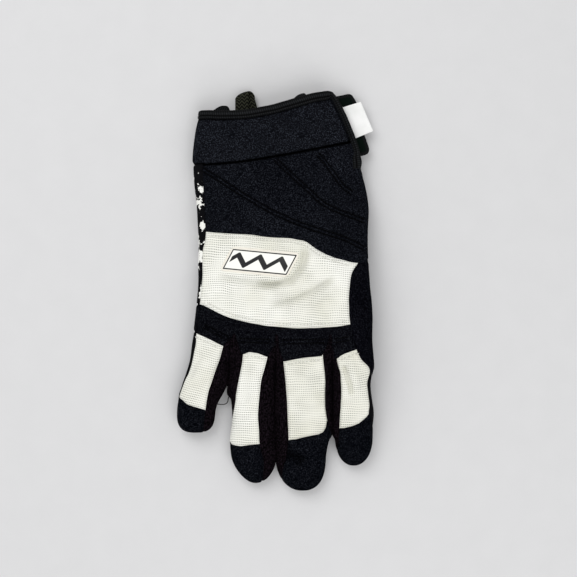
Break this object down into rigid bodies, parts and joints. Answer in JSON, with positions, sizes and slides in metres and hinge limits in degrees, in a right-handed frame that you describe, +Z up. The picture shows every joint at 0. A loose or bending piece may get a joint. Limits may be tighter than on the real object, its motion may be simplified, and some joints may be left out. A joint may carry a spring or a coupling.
{
  "type": "snowboard glove",
  "caption": "Short-cuffed snowboard glove for the right hand in dark softshell with a pale knit back, a slanted wrist vent with a closure tab, and a webbing pull loop.",
  "frame": {"origin": "middle of the glove's footprint, on the surface that it lies on", "axes": "+Y from the fingertips to the cuff, +Z up out of the back of the hand, +X towards the index finger"},
  "size_m": [0.1216, 0.2474, 0.0303],
  "materials": {
    "softshell": "near-black stretch softshell with a fine lighter fleck",
    "pale_knit": "warm off-white waffle knit in fine rows",
    "stretch_jersey": "ribbed brown-black stretch jersey",
    "printed_suede": "black synthetic suede with a pale blotted print",
    "binding_tape": "folded black grosgrain tape with two rows of stitches",
    "webbing": "dark olive-black herringbone webbing",
    "fastener_tab": "hook-and-loop tape, black with a green cast",
    "woven_label": "white satin-woven label, left bare",
    "moulded_badge": "soft moulded badge, satin off-white"
  },
  "bodies": {
    "root": {"wrist_cuff": "softshell", "edge_binding": "binding_tape", "back_panel": "softshell", "knuckle_panel": "pale_knit", "knuckle_badge": "moulded_badge", "knuckle_band": "softshell", "side_panel": "softshell", "finger_back_little": "pale_knit", "finger_back_ring": "pale_knit", "finger_back_middle": "pale_knit", "finger_back_index": "pale_knit", "fingertip_little": "softshell", "fingertip_ring": "softshell", "fingertip_middle": "softshell", "fingertip_index": "softshell", "fourchette_little_ring": "stretch_jersey", "fourchette_ring_middle": "stretch_jersey", "fourchette_middle_index": "stretch_jersey", "palm": "printed_suede", "thumb": "printed_suede", "closure_tab": "fastener_tab", "side_label": "woven_label", "pull_loop": "webbing"}
  },
  "joints": []
}
